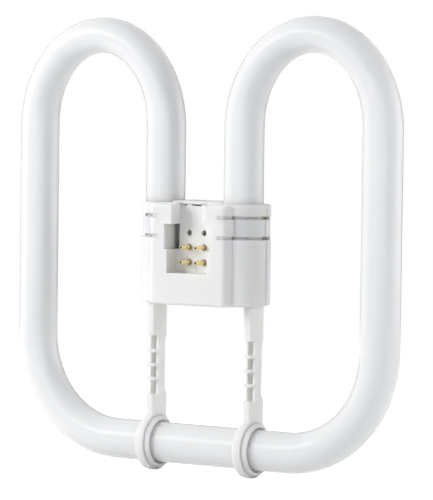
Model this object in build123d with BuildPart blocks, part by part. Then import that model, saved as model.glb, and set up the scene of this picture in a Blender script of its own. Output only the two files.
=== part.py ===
# Square four-pin fluorescent lamp: a single bent glass tube whose two ends go into one
# snap-together cap, with two moulded arms that carry the far side of the tube.
# Origin: centre of the four contact pins, on the floor of the socket recess.
# +Z runs up the legs of the tube, -Y is the way the pins point, +X is to the right.
from build123d import *
import os

# Glass tube
tube_r = 9.05               # radius of the straight lengths
tube_bend_r = 8.15          # radius in the plane of the lamp at the top of each hairpin bend
tube_base_r = 9.3           # radius along the bottom length
tube_y = 6.0                # the plane of the tube lies behind the recess floor
lamp_width = 205.0          # over the outer sides
leg_gap = 24.5              # clear space between the two legs
bend_z = 58.15              # where the hairpin bends leave the legs
bend_height = 41.95         # height of the hairpin centre line, a little pointed
base_z = -87.5              # centre of the bottom length
corner_r = 46.9             # centre-line radius of the two bottom corners
glass_end_z = -6.0          # where each leg is sealed, inside the cap
glass_end_slope = 3.6       # the sealed end narrows over this length
tip_r = 1.9                 # sealed-off exhaust tip under each leg
tip_length = 4.6

# Cap, the closed pair of housings
cap_top = 23.0              # top of the front block
cap_bottom = -22.8
front_y = -8.0              # front face
block_front_in = 1.7        # the block's sides start this far inside the leg centres
block_back_out = 1.1        # and meet the collars this far outside them
block_corner_r = 2.5
block_chamfer = 0.9         # round the block's bottom
collar_over_glass = 2.75    # the collars' radius is this much more than the glass
collar_shift = 1.5          # the collars are centred this far behind the glass
collar_rise = 0.7           # the collars' tops stand above the block
collar_taper = 3.0          # the collars' bottom rim slopes in this far
collar_taper_height = 1.0
wall = 1.6
top_round = 1.2
leg_clearance = 0.2         # round each glass leg
cradle_z = 0.0              # rib that steadies each leg
cradle_thick = 1.6

# Raised bridge on the rear cover, between the legs
bridge_half = 15.0
bridge_front_y = 0.0
bridge_height = 1.5
bridge_round = 1.3

# Socket recess in the front housing
plate_thick = 1.6           # pin plate, its face is the recess floor at Y 0
lower_half = 11.2           # half widths and levels of the three steps of the recess
middle_half = 12.6
upper_half = 8.8
recess_bottom = -8.3
middle_bottom = 2.4
upper_bottom = 14.0
latch_inner = 9.4           # latch windows run from here to the recess side
plate_top_gap = 0.7         # height of the open joints between the pin plate and the bridge
plate_lug_inner = 2.6       # two lugs between those joints meet the bridge
plate_lug_outer = 5.3
plate_lug_end = 7.0         # outside this the joint is closed
recess_wall = 1.3
vent_r = 1.35               # two round holes above the pins
vent_z = 10.0

# Snap tongues on both sides
tongue_z = 13.0
tongue_height = 7.65
slit = 1.55
tongue_root_in = 3.2        # the slits start on the front face, this far inside its edge
tongue_end_gap = 0.8        # upright slit at the free end of the tongue
tongue_inset = 0.5          # the tongue and the tab behind it lie under the collar's surface
tab_reach = 8.5             # the slits end this far behind the collars' centre

# Contact pins, hollow and crimped at the tip
pin_x = 4.0
pin_z = 3.4
pin_length = 6.7            # from the recess floor
pin_r = 1.12
pin_tip_r = 0.9
pin_tip_length = 2.2
pin_flange_r = 1.45
pin_flange_thick = 0.4
pin_shank_r = 0.95
pin_tail = 1.9              # behind the pin plate
pin_bore_r = 0.45
pin_crimp_y = -1.3          # the bore behind ends here, crimped shut on its wire
pin_mouth_depth = 1.1       # open tip in front of the crimp
pin_clearance = 0.03

# Lead wires from the sealed glass ends to the pins
wire_r = 0.3
wire_spread = 3.2           # each side of the exhaust tip
wire_end_gap = 0.1          # from the wire's end to the bottom of the pin's bore
lower_wire_y = 8.0
lower_wire_drop = 7.0       # from the glass end down to the run across
upper_wire_y = 11.2
upper_wire_drop = 9.4

# Support arms
arm_out = 5.2               # outside the leg centres
arm_shift = 1.2             # behind the plane of the glass
arm_width = 4.7
arm_half_depth = 5.1
arm_front_round = 1.2
arm_ledge_round = 1.7       # front corners of the blocks, where the ladder starts and ends
ladder_under_cap = 15.4     # the ladder starts this far under the cap
ladder_over_base = 22.1     # and ends this far above the bottom length
ladder_front = -1.9         # channel edge, measured from the arm's middle plane
ladder_back = 4.0
ladder_taper = 2.7          # the back steps in over this height
lower_block_extra = 0.6     # the lower block is this much deeper at the back
channel_wall = 0.9
channel_floor = 1.1
fin_count = 3
fin_thick = 1.4
fin_end_gap = 7.1           # from each end of the ladder to the nearest fin's middle
fin_tip = -4.9              # fin edge, measured from the arm's middle plane
ring_gap = 1.0              # between the bottom length and the ring's bore
ring_thick = 2.7
ring_shift = 0.8            # the ring is centred behind the glass
ring_chamfer = 0.5
head_overhang = 1.2
head_half_depth = 3.0
head_height = 2.2
arm_clearance = 0.1

os.makedirs("parts", exist_ok=True)

leg_x = leg_gap / 2 + tube_r
side_x = lamp_width / 2 - tube_r
bend_x = (leg_x + side_x) / 2
bend_half = (side_x - leg_x) / 2
corner_x = side_x - corner_r
corner_z = base_z + corner_r
tube_plane = Plane.XZ.offset(-tube_y)

collar_r = tube_r + collar_over_glass
collar_y = tube_y + collar_shift
collar_top = cap_top + collar_rise
part_y = collar_y           # joint plane between front housing and rear cover
block_half_front = leg_x - block_front_in
block_half_back = leg_x + block_back_out
tongue_root_x = block_half_front - tongue_root_in
tab_back_y = collar_y + tab_reach
arm_x = leg_x + arm_out
arm_y = tube_y + arm_shift


def save(name, solid):
    solid.label = name
    export_step(solid, f"parts/{name}.step")


def block_outline():
    """Top view of the front block, narrower at its face."""
    with BuildSketch() as outline:
        with BuildLine():
            Polyline(
                (-block_half_back, collar_y - collar_r),
                (-block_half_front, front_y),
                (block_half_front, front_y),
                (block_half_back, collar_y - collar_r),
                (block_half_back, collar_y),
                (-block_half_back, collar_y),
                close=True,
            )
        make_face()
        fillet(outline.vertices().group_by(Axis.Y)[0], block_corner_r)
    return outline.sketch


def collar_outline():
    """Top view of both collars and what joins them, behind the front block."""
    with BuildSketch() as outline:
        with Locations((0, collar_y)):
            SlotCenterToCenter(2 * leg_x, 2 * collar_r)
    return outline.sketch


def wall_outline():
    """Top view of the space inside the closed cap."""
    with BuildSketch() as outline:
        add(block_outline())
        add(collar_outline())
        offset(amount=-wall, kind=Kind.INTERSECTION)
    return outline.sketch


# Closed cap, inside and out, which both housings are cut from
with BuildPart() as front_block:
    with BuildSketch(Plane.XY.offset(cap_bottom)):
        add(block_outline())
    extrude(amount=cap_top - cap_bottom)
    fillet(front_block.faces().sort_by(Axis.Z)[-1].edges(), top_round)
    chamfer(front_block.faces().sort_by(Axis.Z)[0].edges(), block_chamfer)

with BuildPart() as cap_outside:
    with BuildSketch(Plane.XY.offset(cap_bottom)):
        add(collar_outline())
    extrude(amount=collar_top - cap_bottom)
    fillet(cap_outside.faces().sort_by(Axis.Z)[-1].edges(), top_round)
    bottom = cap_outside.faces().sort_by(Axis.Z)[0]
    chamfer(bottom.edges(), collar_taper, collar_taper_height, reference=bottom)
    add(front_block.part)

with BuildPart() as cap_inside:
    with BuildSketch(Plane.XY.offset(cap_bottom + wall)):
        add(wall_outline())
    extrude(amount=cap_top - cap_bottom - 2 * wall)

with BuildPart() as leg_space:
    with BuildSketch(Plane.XY.offset(glass_end_z - leg_clearance)):
        with Locations((-leg_x, tube_y), (leg_x, tube_y)):
            Circle(tube_r + leg_clearance)
    extrude(amount=bend_z - glass_end_z)

with BuildPart() as arm_space:
    with BuildSketch(Plane.XY.offset(cap_bottom - wall)):
        with Locations((-arm_x, arm_y), (arm_x, arm_y)):
            Rectangle(arm_width + 2 * arm_clearance, 2 * (arm_half_depth + arm_clearance))
    extrude(amount=3 * wall)

# Bands between the slits, where the tongues and tabs lie lower than the collars
with BuildPart() as tongue_band:
    with BuildSketch(Plane.XY.offset(tongue_z - tongue_height / 2)):
        with Locations((-leg_x, collar_y), (leg_x, collar_y)):
            Circle(collar_r + wall)
            Circle(collar_r - tongue_inset, mode=Mode.SUBTRACT)
        with Locations((0, tab_back_y + collar_r)):
            Rectangle(4 * side_x, 2 * collar_r, mode=Mode.SUBTRACT)
        Rectangle(2 * block_half_back, 4 * collar_r, mode=Mode.SUBTRACT)
    extrude(amount=tongue_height)

with BuildPart() as slits:
    for z in (tongue_z - tongue_height / 2 - slit, tongue_z + tongue_height / 2):
        with BuildSketch(Plane.XY.offset(z)):
            for side in (-1, 1):
                with Locations((side * (tongue_root_x + collar_r + wall), front_y)):
                    Rectangle(2 * (collar_r + wall), 2 * (tab_back_y - front_y))
        extrude(amount=slit)

# Ribs with a round seat for each glass leg
with BuildPart() as cradle:
    with BuildSketch(Plane.XY.offset(cradle_z)):
        add(wall_outline())
        Rectangle(2 * (middle_half + recess_wall), 8 * collar_r, mode=Mode.SUBTRACT)
    extrude(amount=cradle_thick)


def recess_sketch(grow, top):
    """Stepped outline of the socket recess, seen from the front, grown by a wall."""
    steps = (
        (lower_half, recess_bottom, middle_bottom),
        (middle_half, middle_bottom, upper_bottom),
        (upper_half, upper_bottom, top),
    )
    with BuildSketch() as outline:
        for half, low, high in steps:
            with Locations((0, (low + high) / 2)):
                Rectangle(2 * (half + grow), high - low + 2 * grow)
    return outline.sketch


# Front housing: block, recess with its pin plate, front half of both collars, tongues
with BuildPart() as front_housing:
    add(cap_outside.part)
    add(cap_inside.part, mode=Mode.SUBTRACT)
    add(cradle.part)
    with Locations((0, (bridge_front_y + part_y) / 2, cap_top)):
        Box(2 * (upper_half + recess_wall), part_y - bridge_front_y, 2 * wall, mode=Mode.SUBTRACT)
    with Locations((0, (bridge_front_y + part_y) / 2, cap_top + bridge_height / 2)):
        Box(2 * bridge_half, part_y - bridge_front_y, bridge_height, mode=Mode.SUBTRACT)
    with BuildSketch(Plane.XZ.offset(-front_y)):
        add(recess_sketch(recess_wall, cap_top - recess_wall))
    extrude(amount=front_y - plate_thick)
    with BuildSketch(Plane.XZ.offset(-front_y)):
        add(recess_sketch(0, cap_top + wall))
    extrude(amount=front_y, mode=Mode.SUBTRACT)
    with BuildSketch(Plane.XZ):
        with Locations((-pin_x, vent_z), (pin_x, vent_z)):
            Circle(vent_r)
        with Locations((-pin_x, -pin_z), (-pin_x, pin_z), (pin_x, -pin_z), (pin_x, pin_z)):
            Circle(pin_shank_r + pin_clearance)
        for side in (-1, 1):
            with Locations((side * (latch_inner + middle_half) / 2, (middle_bottom + upper_bottom) / 2)):
                Rectangle(middle_half - latch_inner, upper_bottom - middle_bottom)
            with Locations((side * (plate_lug_outer + plate_lug_end) / 2, cap_top - plate_top_gap / 2)):
                Rectangle(plate_lug_end - plate_lug_outer, plate_top_gap)
        with Locations((0, cap_top - plate_top_gap / 2)):
            Rectangle(2 * plate_lug_inner, plate_top_gap)
    extrude(amount=-plate_thick, mode=Mode.SUBTRACT)
    add(leg_space.part, mode=Mode.SUBTRACT)
    add(arm_space.part, mode=Mode.SUBTRACT)
    add(slits.part, mode=Mode.SUBTRACT)
    add(tongue_band.part, mode=Mode.SUBTRACT)
    with BuildSketch(Plane.XY.offset(tongue_z - tongue_height / 2)):
        for side in (-1, 1):
            with Locations((side * (leg_x + collar_r), part_y - tongue_end_gap / 2)):
                Rectangle(2 * wall + collar_r, tongue_end_gap)
    extrude(amount=tongue_height, mode=Mode.SUBTRACT)
    split(bisect_by=Plane.XZ.offset(-part_y), keep=Keep.TOP)

save("front_housing", front_housing.part)

# Rear cover: back half of both collars, and the raised bridge that closes the top
bridge_back_y = collar_y + collar_r - top_round

with BuildPart() as bridge:
    with BuildSketch(Plane.XY.offset(cap_top)):
        with Locations((0, (bridge_front_y + bridge_back_y) / 2)):
            Rectangle(2 * bridge_half, bridge_back_y - bridge_front_y)
    extrude(amount=bridge_height)
    fillet(bridge.faces().sort_by(Axis.Z)[-1].edges(), bridge_round)

with BuildPart() as rear_cover:
    add(cap_outside.part)
    add(cap_inside.part, mode=Mode.SUBTRACT)
    add(cradle.part)
    add(arm_space.part, mode=Mode.SUBTRACT)
    add(slits.part, mode=Mode.SUBTRACT)
    add(tongue_band.part, mode=Mode.SUBTRACT)
    split(bisect_by=Plane.XZ.offset(-part_y), keep=Keep.BOTTOM)
    add(bridge.part)
    add(leg_space.part, mode=Mode.SUBTRACT)

save("rear_cover", rear_cover.part)


def flattened(origin, tangent, outward, in_plane_r):
    """A section of a bend: its radius in the plane of the lamp may differ from tube_r."""
    plane = Plane(origin=origin, x_dir=outward, z_dir=tangent)
    with BuildSketch(plane) as section:
        Ellipse(in_plane_r, tube_r)
    return section.sketch


# Glass tube: one half from the sealed end to the middle of the base, then its mirror image
with BuildPart() as discharge_tube:
    with BuildSketch(Plane.XY.offset(glass_end_z)):
        with Locations((leg_x, tube_y)):
            Circle(tube_r)
    extrude(amount=bend_z - glass_end_z)
    chamfer(discharge_tube.edges().sort_by(Axis.Z)[0], glass_end_slope)
    with BuildSketch(Plane.XY.offset(glass_end_z)):
        with Locations((leg_x, tube_y)):
            Circle(tip_r)
    extrude(amount=-tip_length)
    chamfer(discharge_tube.faces().sort_by(Axis.Z)[0].edges(), tip_r / 2)
    with BuildLine(tube_plane):
        EllipticalCenterArc((bend_x, bend_z), bend_half, bend_height, start_angle=0, arc_size=180)
    sweep(
        sections=[
            flattened((side_x, tube_y, bend_z), (0, 0, 1), (1, 0, 0), tube_r),
            flattened((bend_x, tube_y, bend_z + bend_height), (-1, 0, 0), (0, 0, 1), tube_bend_r),
            flattened((leg_x, tube_y, bend_z), (0, 0, -1), (-1, 0, 0), tube_r),
        ],
        multisection=True,
    )
    with BuildSketch(Plane.XY.offset(corner_z)):
        with Locations((side_x, tube_y)):
            Circle(tube_r)
    extrude(amount=bend_z - corner_z)
    with BuildSketch(Plane.YZ):
        with Locations((tube_y, base_z)):
            Circle(tube_base_r)
    extrude(amount=corner_x)
    with BuildLine(tube_plane):
        CenterArc((corner_x, corner_z), corner_r, -90, 90)
    with BuildSketch(Plane(origin=(corner_x, tube_y, base_z), x_dir=(0, 1, 0), z_dir=(1, 0, 0))) as low_end:
        Circle(tube_base_r)
    with BuildSketch(Plane(origin=(side_x, tube_y, corner_z), x_dir=(0, 1, 0), z_dir=(0, 0, 1))) as high_end:
        Circle(tube_r)
    sweep(sections=[low_end.sketch, high_end.sketch], multisection=True)
    mirror(about=Plane.YZ)

save("discharge_tube", discharge_tube.part)

# Support arm: block, ladder of fins in an open channel, block, closed ring round the tube
front_edge = arm_y - arm_half_depth
back_edge = arm_y + arm_half_depth
lower_back_edge = back_edge + lower_block_extra
ladder_top = cap_bottom - ladder_under_cap
ladder_bottom = base_z + ladder_over_base
seat_z = cap_bottom + wall + arm_clearance
ring_y = tube_y + ring_shift
ring_bore_r = tube_base_r + ring_gap
ring_join_z = base_z + ring_bore_r + ring_thick / 4

with BuildPart() as arm_ring:
    with BuildSketch(Plane.YZ.offset(arm_x)):
        with Locations((ring_y, base_z)):
            Circle(ring_bore_r + ring_thick)
            Circle(ring_bore_r, mode=Mode.SUBTRACT)
    extrude(amount=arm_width / 2, both=True)
    chamfer(arm_ring.edges().filter_by(GeomType.CIRCLE), ring_chamfer)

with BuildPart() as arm_stem:
    with BuildSketch(Plane.YZ.offset(arm_x)) as side_view:
        with BuildLine():
            Polyline(
                (front_edge, seat_z),
                (front_edge, ladder_top),
                (arm_y + ladder_front, ladder_top),
                (arm_y + ladder_front, ladder_bottom),
                (front_edge, ladder_bottom),
                (front_edge, ring_join_z),
                (lower_back_edge, ring_join_z),
                (lower_back_edge, ladder_bottom),
                (arm_y + ladder_back, ladder_bottom + ladder_taper),
                (arm_y + ladder_back, ladder_top - ladder_taper),
                (back_edge, ladder_top),
                (back_edge, seat_z),
                close=True,
            )
        make_face()
        front_corners = side_view.vertices().group_by(Axis.Y)[0].sort_by(Axis.Z)[1:-1]
        fillet(front_corners, arm_ledge_round)
    extrude(amount=arm_width / 2, both=True)
    block_corners = arm_stem.edges().filter_by(Axis.Z).group_by(Axis.Y)[0]
    fillet(block_corners, arm_front_round)

with BuildPart() as right_support_arm:
    add(arm_stem.part)
    add(arm_ring.part)
    with BuildSketch(Plane.XZ.offset(-arm_y - ladder_front)):
        with Locations((arm_x, (ladder_top + ladder_bottom) / 2)):
            Rectangle(arm_width - 2 * channel_wall, ladder_top - ladder_bottom)
    extrude(amount=ladder_front - ladder_back + channel_floor, mode=Mode.SUBTRACT)
    fin_pitch = (ladder_top - ladder_bottom - 2 * fin_end_gap) / (fin_count - 1)
    for number in range(fin_count):
        with BuildSketch(Plane.XY.offset(ladder_top - fin_end_gap - number * fin_pitch - fin_thick / 2)):
            with Locations((arm_x, arm_y + (fin_tip + ladder_back) / 2)):
                RectangleRounded(arm_width, ladder_back - fin_tip, arm_front_round)
            with Locations((arm_x, back_edge)):
                Rectangle(2 * arm_width, 2 * (arm_half_depth - ladder_back + channel_floor), mode=Mode.SUBTRACT)
        extrude(amount=fin_thick)
    with BuildSketch(Plane.XY.offset(seat_z)):
        with Locations((arm_x, arm_y)):
            RectangleRounded(arm_width + 2 * head_overhang, 2 * head_half_depth, head_overhang)
            Rectangle(arm_width, 2 * arm_half_depth - 2 * arm_front_round)
    extrude(amount=head_height)

save("right_support_arm", right_support_arm.part)

with BuildPart() as left_support_arm:
    mirror(right_support_arm.part, about=Plane.YZ)

save("left_support_arm", left_support_arm.part)


def contact_pin(x, z):
    """Turned pin along -Y: bored tail, shank in the plate, flange, body and open tip."""
    with BuildPart() as pin:
        with BuildSketch(Plane(origin=(x, 0, z), x_dir=(1, 0, 0), z_dir=(0, 0, 1))):
            with BuildLine():
                Polyline(
                    (0, pin_crimp_y),
                    (pin_bore_r, pin_crimp_y),
                    (pin_bore_r, plate_thick + pin_tail),
                    (pin_shank_r, plate_thick + pin_tail),
                    (pin_shank_r, 0),
                    (pin_flange_r, 0),
                    (pin_flange_r, -pin_flange_thick),
                    (pin_r, -pin_flange_thick),
                    (pin_r, pin_tip_length - pin_length),
                    (pin_tip_r, pin_tip_length - pin_length - (pin_r - pin_tip_r)),
                    (pin_tip_r, (pin_tip_r - pin_bore_r) / 2 - pin_length),
                    ((pin_tip_r + pin_bore_r) / 2, -pin_length),
                    (pin_bore_r, -pin_length),
                    (pin_bore_r, pin_mouth_depth - pin_length),
                    (0, pin_mouth_depth - pin_length),
                    close=True,
                )
            make_face()
        revolve(axis=Axis((x, 0, z), (0, 1, 0)))
    return pin.part


def lead_wire(side, start_y, run_y, drop, end_z):
    """Wire from a sealed glass end down, across, up behind its pin and into the pin's bore."""
    run_z = glass_end_z - drop
    with BuildPart() as wire:
        with BuildLine() as route:
            Polyline(
                (side * leg_x, start_y, glass_end_z),
                (side * leg_x, start_y, run_z),
                (side * pin_x, run_y, run_z),
                (side * pin_x, run_y, end_z),
                (side * pin_x, pin_crimp_y + wire_end_gap, end_z),
            )
        with BuildSketch(route.line ^ 0):
            Circle(wire_r)
        sweep(transition=Transition.RIGHT)
    return wire.part


for row, z in (("upper", pin_z), ("lower", -pin_z)):
    for column, side in (("left", -1), ("right", 1)):
        save(f"contact_pin_{row}_{column}", contact_pin(side * pin_x, z))

for column, side in (("left", -1), ("right", 1)):
    save(
        f"lead_wire_upper_{column}",
        lead_wire(side, tube_y + wire_spread, upper_wire_y, upper_wire_drop, pin_z),
    )
    save(
        f"lead_wire_lower_{column}",
        lead_wire(side, tube_y - wire_spread, lower_wire_y, lower_wire_drop, -pin_z),
    )
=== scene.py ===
"""Finish of a square four-pin fluorescent lamp: opal tube, white cap and arms, brass pins."""

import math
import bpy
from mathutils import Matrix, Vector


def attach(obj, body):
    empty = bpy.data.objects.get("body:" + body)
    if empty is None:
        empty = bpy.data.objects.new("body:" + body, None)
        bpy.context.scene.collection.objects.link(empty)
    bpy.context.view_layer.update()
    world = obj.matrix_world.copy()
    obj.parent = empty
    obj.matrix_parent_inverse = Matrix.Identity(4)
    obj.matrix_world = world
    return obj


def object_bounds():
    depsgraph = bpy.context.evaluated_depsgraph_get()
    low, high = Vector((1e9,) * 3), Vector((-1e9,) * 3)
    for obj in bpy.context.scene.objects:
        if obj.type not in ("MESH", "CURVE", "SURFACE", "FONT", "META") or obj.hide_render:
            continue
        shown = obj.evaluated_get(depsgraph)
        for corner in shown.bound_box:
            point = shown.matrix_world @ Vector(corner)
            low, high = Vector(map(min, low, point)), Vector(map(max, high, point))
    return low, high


bl_info = {
    "name": "Square Fluorescent Lamp",
    "version": (1, 0, 0),
    "blender": (4, 5, 0),
    "location": "3D View > Sidebar > Lamp",
    "description": "Gives a square fluorescent lamp its glass, moulded plastic, brass and studio",
    "category": "Object",
}

import bmesh
import bpy
from bpy.props import FloatProperty, FloatVectorProperty, PointerProperty
from mathutils import Matrix, Vector

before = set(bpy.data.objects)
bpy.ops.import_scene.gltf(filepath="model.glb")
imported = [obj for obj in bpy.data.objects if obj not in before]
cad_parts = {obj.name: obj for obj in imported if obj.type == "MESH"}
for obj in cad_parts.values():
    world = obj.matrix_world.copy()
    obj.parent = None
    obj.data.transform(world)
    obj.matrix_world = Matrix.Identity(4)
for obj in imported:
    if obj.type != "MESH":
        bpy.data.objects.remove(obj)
cad_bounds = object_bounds()

MM = 0.001
PLASTIC_NODES = ("front_housing", "rear_cover", "left_support_arm", "right_support_arm")
PINS = [f"contact_pin_{row}_{side}" for row in ("upper", "lower") for side in ("left", "right")]
WIRES = [f"lead_wire_{row}_{side}" for row in ("upper", "lower") for side in ("left", "right")]

# Places on the lamp, in millimetres, as the solids have them
PIN_X, PIN_Z = 4.0, 3.4
RING_X, RING_Y, RING_Z = 26.5, 6.8, -87.5
RING_BORE_R = 10.3
RING_HALF_WIDTH = 2.35
GLASS_Y = 6.0
BASE_GLASS_R = 9.3
COLLAR_X, COLLAR_Y = 21.3, 7.5
COLLAR_BORE_R = 10.2
SLIT_MIDDLE_Z, SLIT_PITCH = 13.0, 9.2

# Painted shade on the pins, in their bores and round their feet, in millimetres: distance from the
# pin's axis, and place along it
BORE_PAINTED_SHADE_START, BORE_PAINTED_SHADE_FULL = 0.62, 0.48
FOOT_PAINTED_SHADE_START, FOOT_PAINTED_SHADE_FULL = -1.8, 0.2

# Sleeve in each ring and the cone beside it, in millimetres
SLEEVE_LEFT = 1.6           # left of the ring's middle
SLEEVE_GAP = 0.05           # to the ring's bore
RING_FACE_GAP = 0.03
GLASS_GAP = 0.1
CONE_R = 12.3               # where the cone starts, beside the ring
CONE_TIP_R = 11.0
CONE_LENGTH = 2.5
MOUTH_R = 10.3              # counterbore in the cone's tip
MOUTH_DEPTH = 2.2

# Ribs in the front ends of the slits, in millimetres
RIB_X, RIB_Y = 17.72, -7.0
RIB_LENGTH, RIB_THICK, RIB_HEIGHT = 2.56, 0.8, 1.45
RIB_BEND = (2.53, 3.35)     # from the block's corner along its sloping side
RIB_RISE = 0.4              # towards the front at the slit's end

# Curved wall behind the slits in each collar
LINING_DEPTH = 0.28         # from the collar's bore to the wall's middle, in millimetres
LINING_THICK = 0.36
LINING_HEIGHT = 12.2
LINING_START, LINING_SWEEP = math.radians(-20), math.radians(80)
LINING_STEPS = 28

# Dark frame behind the lamp, in metres
FLAG_WIDTH, FLAG_BAND = 1.56, 0.66
FLAG_HEIGHT_SHARE = 0.45    # its outer edge's height, as a share of its width
FLAG_DISTANCE = 0.8

# Floor, in metres from its middle
FLOOR_R = 6.0
FADE_START, FADE_END = 0.15, 0.6
FLOOR_GLOW = 0.7            # what is added to the lit floor near the lamp


class LampFinish(bpy.types.PropertyGroup):
    """Sizes and colours of the lamp's surfaces."""

    glass_color: FloatVectorProperty(
        name="Opal Glass",
        description="Colour of the coated glass where the coating is thickest",
        subtype="COLOR",
        size=3,
        default=(0.832, 0.836, 0.842),
    )
    thin_glass_color: FloatVectorProperty(
        name="Thin Coating",
        description="Colour of the coated glass where the coating is thinnest",
        subtype="COLOR",
        size=3,
        default=(0.818, 0.823, 0.831),
    )
    glass_roughness: FloatProperty(
        name="Glass Roughness",
        description="Roughness of the drawn glass surface",
        subtype="FACTOR",
        min=0.0,
        max=1.0,
        default=0.16,
    )
    plastic_color: FloatVectorProperty(
        name="White Plastic",
        description="Colour of the moulded cap and arms",
        subtype="COLOR",
        size=3,
        default=(0.905, 0.907, 0.888),
    )
    plastic_shade: FloatVectorProperty(
        name="Plastic Shade",
        description="Second, slightly darker colour of the moulded plastic",
        subtype="COLOR",
        size=3,
        default=(0.89, 0.893, 0.872),
    )
    plastic_roughness: FloatProperty(
        name="Plastic Roughness",
        description="Roughness of the moulded plastic",
        subtype="FACTOR",
        min=0.0,
        max=1.0,
        default=0.42,
    )
    edge_radius: FloatProperty(
        name="Moulded Edge",
        description="Radius of the rounding that the edges of moulded pieces are shaded with",
        unit="LENGTH",
        min=0.0,
        default=0.00018,
    )
    grain_size: FloatProperty(
        name="Mould Grain",
        description="Size of the fine spark-eroded grain on the plastic",
        unit="LENGTH",
        min=0.00001,
        default=0.00025,
    )
    brass_color: FloatVectorProperty(
        name="Brass",
        description="Colour of the turned contact pins",
        subtype="COLOR",
        size=3,
        default=(0.88, 0.73, 0.38),
    )
    brass_shade: FloatVectorProperty(
        name="Brass Shade",
        description="Duller colour in the turning marks of the pins",
        subtype="COLOR",
        size=3,
        default=(0.68, 0.52, 0.22),
    )
    # Painted shade: dark colour painted in the open tips and round the feet of the pins
    brass_painted_shade: FloatVectorProperty(
        name="Brass Stain",
        description="Dark colour in the open tips and round the feet of the pins",
        subtype="COLOR",
        size=3,
        default=(0.10, 0.07, 0.035),
    )
    turning_pitch: FloatProperty(
        name="Turning Pitch",
        description="Distance between the turning marks on the pins",
        unit="LENGTH",
        min=0.00001,
        default=0.00022,
    )
    wire_color: FloatVectorProperty(
        name="Lead Wire",
        description="Colour of the drawn lead wires",
        subtype="COLOR",
        size=3,
        default=(0.62, 0.60, 0.57),
    )


class LampStudio(bpy.types.PropertyGroup):
    """Camera, lamps and floor."""

    target: FloatVectorProperty(
        name="Target",
        description="Point that the camera looks at",
        subtype="TRANSLATION",
        unit="LENGTH",
        size=3,
        default=(0.006983, 0.006, 0.002305),
    )
    azimuth: FloatProperty(
        name="Azimuth",
        description="Angle of the camera to the right of the lamp's front",
        subtype="ANGLE",
        default=math.radians(33.191),
    )
    elevation: FloatProperty(
        name="Elevation",
        description="Angle of the camera above the lamp's middle",
        subtype="ANGLE",
        default=math.radians(2.766),
    )
    roll: FloatProperty(
        name="Roll",
        description="Tilt of the camera about its own line of sight",
        subtype="ANGLE",
        default=math.radians(0.731),
    )
    distance: FloatProperty(
        name="Distance",
        description="Distance from the camera to its target",
        unit="LENGTH",
        default=1.320195,
    )
    lens: FloatProperty(
        name="Lens",
        description="Focal length in millimetres on a 36 mm sensor",
        default=208.77,
    )
    floor_gap: FloatProperty(
        name="Floor Gap",
        description="Distance from the lamp's lowest point down to the floor",
        unit="LENGTH",
        default=0.0,
    )
    floor_color: FloatVectorProperty(
        name="Floor",
        description="Colour of the floor where the studio lamps light it",
        subtype="COLOR",
        size=3,
        default=(0.8, 0.8, 0.8),
    )
    sky_level: FloatProperty(
        name="Sky Level",
        description="Strength of the even light from all sides",
        min=0.0,
        default=0.42,
    )
    key_power: FloatProperty(
        name="Key Power",
        description="Power of the soft lamp at the front left, which casts the shadows",
        unit="POWER",
        min=0.0,
        default=11.8,
    )
    sheen_power: FloatProperty(
        name="Sheen Power",
        description="Power of the front lamp that shows only as gloss; two more have a share of it",
        unit="POWER",
        min=0.0,
        default=5.5,
    )
    back_power: FloatProperty(
        name="Back Power",
        description="Power of the lamp behind, which shines through thin plastic",
        unit="POWER",
        min=0.0,
        default=5.5,
    )
    side_power: FloatProperty(
        name="Side Power",
        description="Power of the soft lamp on the right",
        unit="POWER",
        min=0.0,
        default=7.4,
    )


def deselect_all():
    """Leave edit mode and deselect every object."""
    if bpy.context.mode != "OBJECT":
        bpy.ops.object.mode_set(mode="OBJECT")
    bpy.ops.object.select_all(action="DESELECT")


def make_active(piece):
    """Select this object alone and make it the active one."""
    deselect_all()
    piece.select_set(True)
    bpy.context.view_layer.objects.active = piece


def new_group(name, inputs, outputs):
    """Empty shader node group with a vector input, float inputs and the named outputs."""
    group = bpy.data.node_groups.new(name, "ShaderNodeTree")
    group.interface.new_socket(name="Vector", in_out="INPUT", socket_type="NodeSocketVector")
    for label, value in inputs:
        socket = group.interface.new_socket(name=label, in_out="INPUT", socket_type="NodeSocketFloat")
        socket.default_value = value
    for label, kind in outputs:
        group.interface.new_socket(name=label, in_out="OUTPUT", socket_type=kind)
    return group, group.nodes.new("NodeGroupInput"), group.nodes.new("NodeGroupOutput")


def slow_change_group():
    """Value that drifts softly between two levels, as in a coating or a moulding of uneven depth."""
    group, start, end = new_group(
        "Slow Change",
        (("Scale", 20.0), ("Low", 0.0), ("High", 1.0)),
        (("Value", "NodeSocketFloat"),),
    )
    nodes, links = group.nodes, group.links
    noise = nodes.new("ShaderNodeTexNoise")
    noise.inputs["Detail"].default_value = 3.0
    noise.inputs["Roughness"].default_value = 0.5
    spread = nodes.new("ShaderNodeMapRange")
    spread.inputs["From Min"].default_value = 0.3
    spread.inputs["From Max"].default_value = 0.7
    links.new(start.outputs["Vector"], noise.inputs["Vector"])
    links.new(start.outputs["Scale"], noise.inputs["Scale"])
    links.new(noise.outputs["Fac"], spread.inputs["Value"])
    links.new(start.outputs["Low"], spread.inputs["To Min"])
    links.new(start.outputs["High"], spread.inputs["To Max"])
    links.new(spread.outputs["Result"], end.inputs["Value"])
    return group


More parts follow.
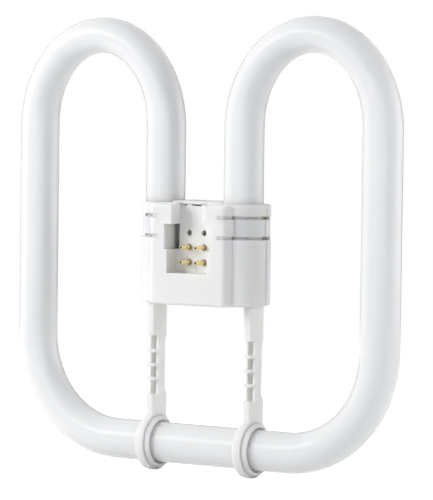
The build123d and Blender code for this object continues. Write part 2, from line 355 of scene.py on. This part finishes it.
def fine_grain_group():
    """Height of a fine even grain, with a broader ripple under it."""
    group, start, end = new_group(
        "Fine Grain",
        (("Grain Scale", 4000.0), ("Ripple Scale", 120.0), ("Ripple Share", 0.5)),
        (("Height", "NodeSocketFloat"),),
    )
    nodes, links = group.nodes, group.links
    grain = nodes.new("ShaderNodeTexNoise")
    grain.inputs["Detail"].default_value = 2.0
    ripple = nodes.new("ShaderNodeTexNoise")
    ripple.inputs["Detail"].default_value = 1.0
    share = nodes.new("ShaderNodeMix")
    links.new(start.outputs["Vector"], grain.inputs["Vector"])
    links.new(start.outputs["Vector"], ripple.inputs["Vector"])
    links.new(start.outputs["Grain Scale"], grain.inputs["Scale"])
    links.new(start.outputs["Ripple Scale"], ripple.inputs["Scale"])
    links.new(start.outputs["Ripple Share"], share.inputs["Factor"])
    links.new(grain.outputs["Fac"], share.inputs["A"])
    links.new(ripple.outputs["Fac"], share.inputs["B"])
    links.new(share.outputs["Result"], end.inputs["Height"])
    return group


def place_group(nodes, group, **values):
    """Group node with its own input values, an underscore in a name standing for a space."""
    node = nodes.new("ShaderNodeGroup")
    node.node_tree = group
    for label, value in values.items():
        node.inputs[label.replace("_", " ")].default_value = value
    return node


def color_mix(nodes, links, factor, first, second):
    """Mix node between two colours, steered by a socket."""
    mix = nodes.new("ShaderNodeMix")
    mix.data_type = "RGBA"
    mix.inputs["A"].default_value = (*first, 1.0)
    mix.inputs["B"].default_value = (*second, 1.0)
    links.new(factor, mix.inputs["Factor"])
    return mix.outputs["Result"]


def bump_from(nodes, links, height, distance, strength):
    """Normal from a Bump node over a height socket."""
    bump = nodes.new("ShaderNodeBump")
    bump.inputs["Distance"].default_value = distance
    bump.inputs["Strength"].default_value = strength
    links.new(height, bump.inputs["Height"])
    return bump.outputs["Normal"]


def new_material(name):
    """Material with a Principled shader, read on Object coordinates."""
    material = bpy.data.materials.new(name)
    material.use_nodes = True
    nodes = material.node_tree.nodes
    coordinates = nodes.new("ShaderNodeTexCoord").outputs["Object"]
    return material, nodes, material.node_tree.links, nodes["Principled BSDF"], coordinates


def opal_glass(finish, slow_change, fine_grain):
    """Milky glass: light enters, scatters in the coating and comes out again nearby."""
    material, nodes, links, shader, coordinates = new_material("opal_glass_finish")
    coating = place_group(nodes, slow_change, Scale=28.0, Low=0.0, High=1.0)
    polish = place_group(nodes, slow_change, Scale=60.0, Low=finish.glass_roughness * 0.8,
                         High=finish.glass_roughness * 1.3)
    draw = place_group(nodes, fine_grain, Grain_Scale=160.0, Ripple_Scale=36.0, Ripple_Share=0.8)
    for group in (coating, polish, draw):
        links.new(coordinates, group.inputs["Vector"])
    color = color_mix(nodes, links, coating.outputs["Value"], finish.glass_color,
                      finish.thin_glass_color)
    waves = bump_from(nodes, links, draw.outputs["Height"], distance=0.12 * MM, strength=0.5)
    links.new(color, shader.inputs["Base Color"])
    links.new(polish.outputs["Value"], shader.inputs["Roughness"])
    links.new(waves, shader.inputs["Normal"])
    shader.inputs["IOR"].default_value = 1.5
    shader.inputs["Subsurface Weight"].default_value = 1.0
    shader.inputs["Subsurface Radius"].default_value = (1.0, 1.0, 1.0)
    shader.inputs["Subsurface Scale"].default_value = 0.01
    return material


def white_plastic(finish, slow_change, fine_grain):
    """Satin moulded plastic that lets some light through, its edges rounded in the shading."""
    material, nodes, links, shader, coordinates = new_material("white_plastic_finish")
    flow = place_group(nodes, slow_change, Scale=90.0, Low=0.0, High=1.0)
    polish = place_group(nodes, slow_change, Scale=160.0, Low=finish.plastic_roughness * 0.9,
                         High=finish.plastic_roughness * 1.15)
    grain = place_group(nodes, fine_grain, Grain_Scale=1.0 / finish.grain_size, Ripple_Scale=130.0,
                        Ripple_Share=0.35)
    for group in (flow, polish, grain):
        links.new(coordinates, group.inputs["Vector"])
    color = color_mix(nodes, links, flow.outputs["Value"], finish.plastic_color,
                      finish.plastic_shade)
    links.new(color, shader.inputs["Base Color"])
    links.new(polish.outputs["Value"], shader.inputs["Roughness"])
    edges = nodes.new("ShaderNodeBevel")
    edges.samples = 6
    edges.inputs["Radius"].default_value = finish.edge_radius
    bump = nodes.new("ShaderNodeBump")
    bump.inputs["Distance"].default_value = 0.03 * MM
    bump.inputs["Strength"].default_value = 0.35
    links.new(grain.outputs["Height"], bump.inputs["Height"])
    links.new(edges.outputs["Normal"], bump.inputs["Normal"])
    links.new(bump.outputs["Normal"], shader.inputs["Normal"])
    shader.inputs["IOR"].default_value = 1.47
    shader.inputs["Subsurface Weight"].default_value = 1.0
    shader.inputs["Subsurface Radius"].default_value = (1.0, 0.98, 0.85)
    shader.inputs["Subsurface Scale"].default_value = 0.0018
    shader.inputs["Specular IOR Level"].default_value = 0.25
    return material


def math_node(nodes, links, operation, first, second=0.0):
    """Math node whose inputs are sockets or plain numbers, the second of no use to some operations."""
    node = nodes.new("ShaderNodeMath")
    node.operation = operation
    for value, socket in ((first, node.inputs[0]), (second, node.inputs[1])):
        if isinstance(value, float):
            socket.default_value = value
        else:
            links.new(value, socket)
    return node.outputs["Value"]


def pin_painted_shade_mask(nodes, links, coordinates):
    """Mask of the painted shade: 1 inside the open tips and at the feet of the four pins, 0 on their
    bodies.
    """
    split = nodes.new("ShaderNodeSeparateXYZ")
    links.new(coordinates, split.inputs["Vector"])
    offsets = []
    for axis, place in (("X", PIN_X), ("Z", PIN_Z)):
        positive = math_node(nodes, links, "ABSOLUTE", split.outputs[axis])
        offset = math_node(nodes, links, "SUBTRACT", positive, place * MM)
        offsets.append(math_node(nodes, links, "POWER", offset, 2.0))
    radius = math_node(nodes, links, "SQRT", math_node(nodes, links, "ADD", *offsets))
    masks = []
    for value, start, end in (
        (radius, BORE_PAINTED_SHADE_START * MM, BORE_PAINTED_SHADE_FULL * MM),
        (split.outputs["Y"], FOOT_PAINTED_SHADE_START * MM, FOOT_PAINTED_SHADE_FULL * MM),
    ):
        mask = nodes.new("ShaderNodeMapRange")
        mask.inputs["From Min"].default_value = start
        mask.inputs["From Max"].default_value = end
        links.new(value, mask.inputs["Value"])
        masks.append(mask.outputs["Result"])
    return math_node(nodes, links, "MAXIMUM", *masks)


def turned_brass(finish, slow_change):
    """Brass with fine turning marks, dull in places, with painted shade in its bores and at its feet.
    """
    material, nodes, links, shader, coordinates = new_material("turned_brass_finish")
    marks = nodes.new("ShaderNodeTexWave")
    marks.wave_type = "BANDS"
    marks.bands_direction = "Y"
    marks.inputs["Scale"].default_value = math.pi / 10 / finish.turning_pitch
    marks.inputs["Distortion"].default_value = 1.0
    tarnish = place_group(nodes, slow_change, Scale=420.0, Low=0.0, High=0.6)
    polish = place_group(nodes, slow_change, Scale=700.0, Low=0.24, High=0.36)
    for node in (marks, tarnish, polish):
        links.new(coordinates, node.inputs["Vector"])
    bright = color_mix(nodes, links, tarnish.outputs["Value"], finish.brass_color,
                       finish.brass_shade)
    # Painted shade in the bores and round the feet of the pins
    painted_shade_mix = nodes.new("ShaderNodeMix")
    painted_shade_mix.data_type = "RGBA"
    painted_shade_mix.inputs["B"].default_value = (*finish.brass_painted_shade, 1.0)
    links.new(bright, painted_shade_mix.inputs["A"])
    links.new(pin_painted_shade_mask(nodes, links, coordinates), painted_shade_mix.inputs["Factor"])
    links.new(painted_shade_mix.outputs["Result"], shader.inputs["Base Color"])
    turning = bump_from(nodes, links, marks.outputs["Fac"], distance=0.006 * MM, strength=0.2)
    links.new(polish.outputs["Value"], shader.inputs["Roughness"])
    links.new(turning, shader.inputs["Normal"])
    shader.inputs["Metallic"].default_value = 1.0
    return material


def drawn_wire(finish, slow_change, fine_grain):
    """Drawn wire, slightly tarnished and rough."""
    material, nodes, links, shader, coordinates = new_material("drawn_wire_finish")
    tarnish = place_group(nodes, slow_change, Scale=500.0, Low=0.0, High=1.0)
    polish = place_group(nodes, slow_change, Scale=1200.0, Low=0.28, High=0.42)
    grain = place_group(nodes, fine_grain, Grain_Scale=9000.0, Ripple_Scale=900.0, Ripple_Share=0.5)
    for group in (tarnish, polish, grain):
        links.new(coordinates, group.inputs["Vector"])
    dark = tuple(0.75 * part for part in finish.wire_color)
    color = color_mix(nodes, links, tarnish.outputs["Value"], finish.wire_color, dark)
    scores = bump_from(nodes, links, grain.outputs["Height"], distance=0.01 * MM, strength=0.3)
    links.new(color, shader.inputs["Base Color"])
    links.new(polish.outputs["Value"], shader.inputs["Roughness"])
    links.new(scores, shader.inputs["Normal"])
    shader.inputs["Metallic"].default_value = 1.0
    return material


def give_material(piece, material):
    """Put one material on the whole piece."""
    piece.data.materials.clear()
    piece.data.materials.append(material)


def shared_group(name, make):
    """The node group of this name, made on first use."""
    return bpy.data.node_groups.get(name) or make()


def pick_faces(piece, wanted):
    """Select in edit mode the faces that pass a test, and no others."""
    bpy.context.tool_settings.mesh_select_mode = (False, False, True)
    bpy.ops.mesh.select_all(action="DESELECT")
    mesh = bmesh.from_edit_mesh(piece.data)
    for face in mesh.faces:
        face.select_set(wanted(face))
    bmesh.update_edit_mesh(piece.data)


def fix_place(piece):
    """Leave the piece's object at the origin, its place in its mesh."""
    make_active(piece)
    bpy.ops.object.transform_apply(location=True, rotation=True, scale=True)


def declare_plastic(piece, material):
    """Plastic look and body of a new piece."""
    give_material(piece, material)
    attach(piece, "root")


def finish_edges(width):
    """In edit mode: outward normals and small bevels on the sharp edges."""
    bpy.ops.mesh.select_all(action="SELECT")
    bpy.ops.mesh.remove_doubles(threshold=0.001 * MM)
    bpy.ops.mesh.normals_make_consistent(inside=False)
    bpy.ops.mesh.select_all(action="DESELECT")
    bpy.context.tool_settings.mesh_select_mode = (False, True, False)
    bpy.ops.mesh.edges_select_sharp(sharpness=math.radians(50))
    bpy.ops.mesh.bevel(offset=width, segments=2, affect="EDGES")
    bpy.ops.object.mode_set(mode="OBJECT")
    bpy.ops.object.shade_smooth_by_angle(angle=math.radians(30))


def mirrored_copy(piece, name):
    """The same piece on the lamp's left side, with its own mesh."""
    copy = bpy.data.objects.new(name, piece.data.copy())
    bpy.context.scene.collection.objects.link(copy)
    make_active(copy)
    bpy.ops.object.mode_set(mode="EDIT")
    bpy.ops.mesh.select_all(action="SELECT")
    bpy.ops.transform.mirror(constraint_axis=(True, False, False), center_override=(0, 0, 0))
    bpy.ops.mesh.normals_make_consistent(inside=False)
    bpy.ops.object.mode_set(mode="OBJECT")
    return copy


def moved_copy(piece, name, shift):
    """The same piece at another place, with its own mesh."""
    copy = bpy.data.objects.new(name, piece.data.copy())
    bpy.context.scene.collection.objects.link(copy)
    copy.location = shift
    fix_place(copy)
    return copy


def resized_end(shift, factor, centre):
    """Extrude the picked end face by a shift and scale it across X about a centre."""
    bpy.ops.mesh.extrude_region_move(TRANSFORM_OT_translate={"value": shift})
    bpy.ops.transform.resize(value=(1, factor, factor), center_override=centre)


def ring_sleeve():
    """Sleeve in the right ring's bore, with a low cone beside the ring, counterbored for the glass."""
    sleeve_r = RING_BORE_R - SLEEVE_GAP
    hole_r = BASE_GLASS_R + GLASS_GAP
    first = RING_X - SLEEVE_LEFT
    last = RING_X + RING_HALF_WIDTH + RING_FACE_GAP
    bpy.ops.mesh.primitive_cylinder_add(
        vertices=96,
        radius=sleeve_r * MM,
        depth=(last - first) * MM,
        location=((first + last) / 2 * MM, RING_Y * MM, RING_Z * MM),
        rotation=(0, math.radians(90), 0),
    )
    sleeve = bpy.context.active_object
    sleeve.name = "ring_sleeve_right"
    fix_place(sleeve)
    bpy.ops.object.mode_set(mode="EDIT")
    pick_faces(sleeve, lambda face: face.normal.x > 0.9)
    ring_centre = (last * MM, RING_Y * MM, RING_Z * MM)
    glass_centre = (last * MM, GLASS_Y * MM, RING_Z * MM)
    resized_end((0, 0, 0), CONE_R / sleeve_r, ring_centre)
    resized_end((CONE_LENGTH * MM, (GLASS_Y - RING_Y) * MM, 0), CONE_TIP_R / CONE_R, glass_centre)
    bpy.ops.mesh.inset(thickness=(CONE_TIP_R - MOUTH_R) * MM)
    resized_end((-MOUTH_DEPTH * MM, 0, 0), 1.0, glass_centre)
    bpy.ops.mesh.inset(thickness=(MOUTH_R - hole_r) * MM)
    pick_faces(sleeve, lambda face: face.normal.x < -0.9 and len(face.verts) > 4)
    bpy.ops.mesh.inset(thickness=(sleeve_r - hole_r) * MM)
    bpy.ops.transform.translate(value=(0, (GLASS_Y - RING_Y) * MM, 0))
    pick_faces(sleeve, lambda face: len(face.verts) > 4)
    bpy.ops.mesh.bridge_edge_loops()
    finish_edges(width=0.04 * MM)
    return sleeve


def slit_rib(middle_z):
    """Rib low in the front end of a slit, round the block's corner."""
    deselect_all()
    bpy.ops.mesh.primitive_cube_add(
        size=1.0,
        location=(RIB_X * MM, RIB_Y * MM, middle_z * MM),
        scale=(RIB_LENGTH * MM, RIB_THICK * MM, RIB_HEIGHT * MM),
    )
    rib = bpy.context.active_object
    fix_place(rib)
    bpy.ops.object.mode_set(mode="EDIT")
    pick_faces(rib, lambda face: face.normal.x > 0.9)
    bend = (RIB_BEND[0] * MM, RIB_BEND[1] * MM, 0)
    bpy.ops.mesh.extrude_region_move(TRANSFORM_OT_translate={"value": bend})
    pick_faces(rib, lambda face: face.normal.x < -0.9)
    bpy.ops.transform.translate(value=(0, -RIB_RISE * MM, 0))
    finish_edges(width=0.1 * MM)
    return rib


def collar_lining():
    """Thin curved wall between the glass and the right collar, behind its slits."""
    deselect_all()
    middle_r = COLLAR_BORE_R - LINING_DEPTH
    bpy.ops.mesh.primitive_plane_add(
        size=1.0,
        location=(
            (COLLAR_X + middle_r * math.cos(LINING_START)) * MM,
            (COLLAR_Y + middle_r * math.sin(LINING_START)) * MM,
            SLIT_MIDDLE_Z * MM,
        ),
        rotation=(math.radians(90), 0, LINING_START),
    )
    lining = bpy.context.active_object
    lining.scale = (LINING_THICK * MM, LINING_HEIGHT * MM, 1.0)
    fix_place(lining)
    bpy.ops.object.mode_set(mode="EDIT")
    bpy.ops.mesh.select_all(action="SELECT")
    bpy.ops.mesh.spin(
        steps=LINING_STEPS,
        angle=LINING_SWEEP,
        center=(COLLAR_X * MM, COLLAR_Y * MM, SLIT_MIDDLE_Z * MM),
        axis=(0, 0, 1),
    )
    finish_edges(width=0.08 * MM)
    return lining


def slit_walls():
    """Pale walls that are seen in the slits of the right tongue."""
    ribs = [slit_rib(SLIT_MIDDLE_Z + step * SLIT_PITCH / 2) for step in (-1, 1)]
    walls = collar_lining()
    make_active(walls)
    for rib in ribs:
        rib.select_set(True)
    bpy.ops.object.join()
    walls.name = "slit_walls_right"
    return walls


class LAMP_OT_glass_tube(bpy.types.Operator):
    """Give the bent glass tube its opal coating seen through polished glass"""

    bl_idname = "lamp.glass_tube"
    bl_label = "Glass Tube"

    def execute(self, context):
        finish = context.scene.lamp_finish
        slow_change = shared_group("Slow Change", slow_change_group)
        fine_grain = shared_group("Fine Grain", fine_grain_group)
        material = opal_glass(finish, slow_change, fine_grain)
        give_material(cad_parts["discharge_tube"], material)
        return {"FINISHED"}


class LAMP_OT_moulded_parts(bpy.types.Operator):
    """Give the two cap halves and both arms their white moulded plastic"""

    bl_idname = "lamp.moulded_parts"
    bl_label = "Cap and Arms"

    def execute(self, context):
        finish = context.scene.lamp_finish
        slow_change = shared_group("Slow Change", slow_change_group)
        fine_grain = shared_group("Fine Grain", fine_grain_group)
        material = white_plastic(finish, slow_change, fine_grain)
        for node_name in PLASTIC_NODES:
            give_material(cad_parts[node_name], material)
        return {"FINISHED"}


class LAMP_OT_inner_walls(bpy.types.Operator):
    """Model the sleeves in the two rings and the walls behind the slits of the cap"""

    bl_idname = "lamp.inner_walls"
    bl_label = "Ring Sleeves and Slit Walls"

    def execute(self, context):
        material = bpy.data.materials["white_plastic_finish"]
        deselect_all()
        right_sleeve = ring_sleeve()
        left_sleeve = moved_copy(right_sleeve, "ring_sleeve_left", (-2 * RING_X * MM, 0, 0))
        right_walls = slit_walls()
        left_walls = mirrored_copy(right_walls, "slit_walls_left")
        for piece in (right_sleeve, left_sleeve, right_walls, left_walls):
            declare_plastic(piece, material)
        return {"FINISHED"}


class LAMP_OT_contact_pins(bpy.types.Operator):
    """Give the four contact pins their turned brass"""

    bl_idname = "lamp.contact_pins"
    bl_label = "Contact Pins"

    def execute(self, context):
        finish = context.scene.lamp_finish
        slow_change = shared_group("Slow Change", slow_change_group)
        material = turned_brass(finish, slow_change)
        for name in PINS:
            give_material(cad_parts[name], material)
        return {"FINISHED"}


class LAMP_OT_lead_wires(bpy.types.Operator):
    """Give the four lead wires inside the cap their drawn metal"""

    bl_idname = "lamp.lead_wires"
    bl_label = "Lead Wires"

    def execute(self, context):
        finish = context.scene.lamp_finish
        slow_change = shared_group("Slow Change", slow_change_group)
        fine_grain = shared_group("Fine Grain", fine_grain_group)
        material = drawn_wire(finish, slow_change, fine_grain)
        for name in WIRES:
            give_material(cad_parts[name], material)
        return {"FINISHED"}


def towards(azimuth, elevation):
    """Unit vector from the lamp to a place at these angles, azimuth 0 at its front."""
    level = math.cos(elevation)
    return Vector((math.sin(azimuth) * level, -math.cos(azimuth) * level, math.sin(elevation)))


def seen_white(nodes, links):
    """Mask of the rays that see the background: from the camera, in gloss and through glass."""
    path = nodes.new("ShaderNodeLightPath").outputs
    either = math_node(nodes, links, "MAXIMUM", path["Is Camera Ray"], path["Is Glossy Ray"])
    return math_node(nodes, links, "MAXIMUM", either, path["Is Transmission Ray"])


def place_camera(studio):
    """Camera on the photo's line of sight, turned about it by the roll."""
    target = Vector(studio.target)
    back = towards(studio.azimuth, studio.elevation)
    right = Vector((math.cos(studio.azimuth), math.sin(studio.azimuth), 0))
    up = back.cross(right)
    tilt = Matrix.Rotation(-studio.roll, 3, back)
    right = right @ tilt
    up = up @ tilt
    camera = bpy.data.objects.new("photo_camera", bpy.data.cameras.new("photo_camera"))
    bpy.context.scene.collection.objects.link(camera)
    place = Matrix((right, up, back)).transposed().to_4x4()
    place.translation = target + back * studio.distance
    camera.matrix_world = place
    camera.data.lens = studio.lens
    camera.data.sensor_width = 36.0
    camera.data.clip_end = 50.0
    bpy.context.scene.camera = camera


def place_lamp(name, azimuth, elevation, distance, size, power, shown_to):
    """Area lamp, at angles in degrees, that faces the origin and lights only "matt" or "gloss"."""
    light = bpy.data.lights.new(name, "AREA")
    light.shape = "RECTANGLE"
    light.size, light.size_y = size
    light.energy = power
    lamp = bpy.data.objects.new(name, light)
    lamp.visible_camera = False
    lamp.visible_glossy = shown_to == "gloss"
    lamp.visible_diffuse = shown_to == "matt"
    bpy.context.scene.collection.objects.link(lamp)
    direction = towards(math.radians(azimuth), math.radians(elevation))
    lamp.location = direction * distance
    lamp.rotation_euler = direction.to_track_quat("Z", "Y").to_euler()


def place_flag(studio):
    """Dark frame behind the lamp, seen only in gloss, which draws the edges of the white glass."""
    deselect_all()
    bpy.ops.mesh.primitive_plane_add(size=FLAG_WIDTH, location=(0, 0, 0))
    flag = bpy.context.active_object
    flag.name = "studio_flag"
    bpy.ops.object.mode_set(mode="EDIT")
    bpy.ops.mesh.inset(thickness=FLAG_BAND)
    bpy.ops.mesh.delete(type="FACE")
    bpy.ops.object.mode_set(mode="OBJECT")
    for point in flag.data.vertices:
        if abs(point.co.y) > FLAG_WIDTH / 2 - FLAG_BAND / 2:
            point.co.y *= FLAG_HEIGHT_SHARE
    back = towards(studio.azimuth, studio.elevation)
    flag.location = Vector(studio.target) - back * FLAG_DISTANCE
    flag.rotation_euler = back.to_track_quat("Z", "Y").to_euler()
    flag.visible_camera = False
    flag.visible_shadow = False
    flag.visible_diffuse = False
    material = bpy.data.materials.new("studio_flag_finish")
    material.use_nodes = True
    shader = material.node_tree.nodes["Principled BSDF"]
    shader.inputs["Base Color"].default_value = (0.02, 0.02, 0.02, 1.0)
    give_material(flag, material)


def floor_material(studio):
    """Pale floor: shows the lamp's shadow near it and runs out into the white background."""
    material = bpy.data.materials.new("studio_floor_finish")
    material.use_nodes = True
    nodes, links = material.node_tree.nodes, material.node_tree.links
    shader = nodes["Principled BSDF"]
    shader.inputs["Base Color"].default_value = (*studio.floor_color, 1.0)
    shader.inputs["Roughness"].default_value = 0.9
    shader.inputs["Specular IOR Level"].default_value = 0.0
    coordinates = nodes.new("ShaderNodeTexCoord").outputs["Object"]
    distance = nodes.new("ShaderNodeVectorMath")
    distance.operation = "LENGTH"
    links.new(coordinates, distance.inputs[0])
    reach = nodes.new("ShaderNodeMapRange")
    reach.interpolation_type = "SMOOTHSTEP"
    reach.inputs["From Min"].default_value = FADE_START
    reach.inputs["From Max"].default_value = FADE_END
    links.new(distance.outputs["Value"], reach.inputs["Value"])
    white = nodes.new("ShaderNodeEmission")
    near = nodes.new("ShaderNodeEmission")
    near.inputs["Strength"].default_value = FLOOR_GLOW
    lit = nodes.new("ShaderNodeAddShader")
    links.new(shader.outputs["BSDF"], lit.inputs[0])
    links.new(near.outputs["Emission"], lit.inputs[1])
    fade = nodes.new("ShaderNodeMixShader")
    links.new(reach.outputs["Result"], fade.inputs["Fac"])
    links.new(lit.outputs["Shader"], fade.inputs[1])
    links.new(white.outputs["Emission"], fade.inputs[2])
    seen = nodes.new("ShaderNodeMixShader")
    links.new(seen_white(nodes, links), seen.inputs["Fac"])
    links.new(shader.outputs["BSDF"], seen.inputs[1])
    links.new(fade.outputs["Shader"], seen.inputs[2])
    links.new(seen.outputs["Shader"], nodes["Material Output"].inputs["Surface"])
    return material


def place_floor(studio):
    """Round floor under the lamp's lowest point."""
    low, high = cad_bounds
    middle = (low + high) / 2
    deselect_all()
    bpy.ops.mesh.primitive_circle_add(vertices=96, radius=FLOOR_R, fill_type="NGON", location=(0, 0, 0))
    floor = bpy.context.active_object
    floor.name = "studio_floor"
    floor.location = (middle.x, middle.y, low.z - studio.floor_gap)
    give_material(floor, floor_material(studio))


def light_world(studio):
    """Even sky for the object, white where the background itself is seen."""
    world = bpy.data.worlds.new("studio_sky")
    bpy.context.scene.world = world
    world.use_nodes = True
    nodes, links = world.node_tree.nodes, world.node_tree.links
    sky = nodes["Background"]
    sky.inputs["Color"].default_value = (0.97, 0.985, 1.0, 1.0)
    sky.inputs["Strength"].default_value = studio.sky_level
    white = nodes.new("ShaderNodeBackground")
    white.inputs["Color"].default_value = (1.0, 1.0, 1.0, 1.0)
    seen = nodes.new("ShaderNodeMixShader")
    links.new(seen_white(nodes, links), seen.inputs["Fac"])
    links.new(sky.outputs["Background"], seen.inputs[1])
    links.new(white.outputs["Background"], seen.inputs[2])
    links.new(seen.outputs["Shader"], nodes["World Output"].inputs["Surface"])


class LAMP_OT_studio(bpy.types.Operator):
    """Place the camera, the soft lamps, the pale floor and the white background"""

    bl_idname = "lamp.studio"
    bl_label = "Studio"

    def execute(self, context):
        studio = context.scene.lamp_studio
        place_camera(studio)
        place_lamp("key_lamp", azimuth=-46, elevation=21, distance=1.3, size=(0.6, 0.7),
                   power=studio.key_power, shown_to="matt")
        place_lamp("side_lamp", azimuth=98, elevation=2, distance=1.2, size=(0.7, 1.0),
                   power=studio.side_power, shown_to="matt")
        place_lamp("front_sheen", azimuth=20, elevation=6, distance=0.9, size=(1.3, 0.7),
                   power=studio.sheen_power, shown_to="gloss")
        place_lamp("upper_sheen", azimuth=-36, elevation=24, distance=1.2, size=(0.7, 0.35),
                   power=studio.sheen_power * 0.36, shown_to="gloss")
        place_lamp("rim_sheen", azimuth=134, elevation=2, distance=1.2, size=(1.1, 1.0),
                   power=studio.sheen_power * 0.8, shown_to="gloss")
        place_lamp("back_lamp", azimuth=190, elevation=15, distance=1.3, size=(1.2, 1.2),
                   power=studio.back_power, shown_to="matt")
        place_flag(studio)
        place_floor(studio)
        light_world(studio)
        context.scene.view_settings.view_transform = "Standard"
        return {"FINISHED"}


class LAMP_PT_panel(bpy.types.Panel):
    """Buttons and sizes of the lamp"""

    bl_idname = "LAMP_PT_panel"
    bl_label = "Fluorescent Lamp"
    bl_space_type = "VIEW_3D"
    bl_region_type = "UI"
    bl_category = "Lamp"

    def draw(self, context):
        layout = self.layout
        for settings in (context.scene.lamp_finish, context.scene.lamp_studio):
            box = layout.box()
            for name in settings.__annotations__:
                box.prop(settings, name)
        for operator in OPERATORS:
            layout.operator(operator.bl_idname)


OPERATORS = (
    LAMP_OT_glass_tube,
    LAMP_OT_moulded_parts,
    LAMP_OT_inner_walls,
    LAMP_OT_contact_pins,
    LAMP_OT_lead_wires,
    LAMP_OT_studio,
)
CLASSES = (LampFinish, LampStudio, *OPERATORS, LAMP_PT_panel)


def register():
    for cls in CLASSES:
        bpy.utils.register_class(cls)
    bpy.types.Scene.lamp_finish = PointerProperty(type=LampFinish)
    bpy.types.Scene.lamp_studio = PointerProperty(type=LampStudio)


def unregister():
    del bpy.types.Scene.lamp_studio
    del bpy.types.Scene.lamp_finish
    for cls in reversed(CLASSES):
        bpy.utils.unregister_class(cls)


def main():
    register()
    bpy.ops.lamp.studio()
    bpy.ops.lamp.glass_tube()
    bpy.ops.lamp.moulded_parts()
    bpy.ops.lamp.inner_walls()
    bpy.ops.lamp.contact_pins()
    bpy.ops.lamp.lead_wires()


if __name__ == "__main__":
    main()
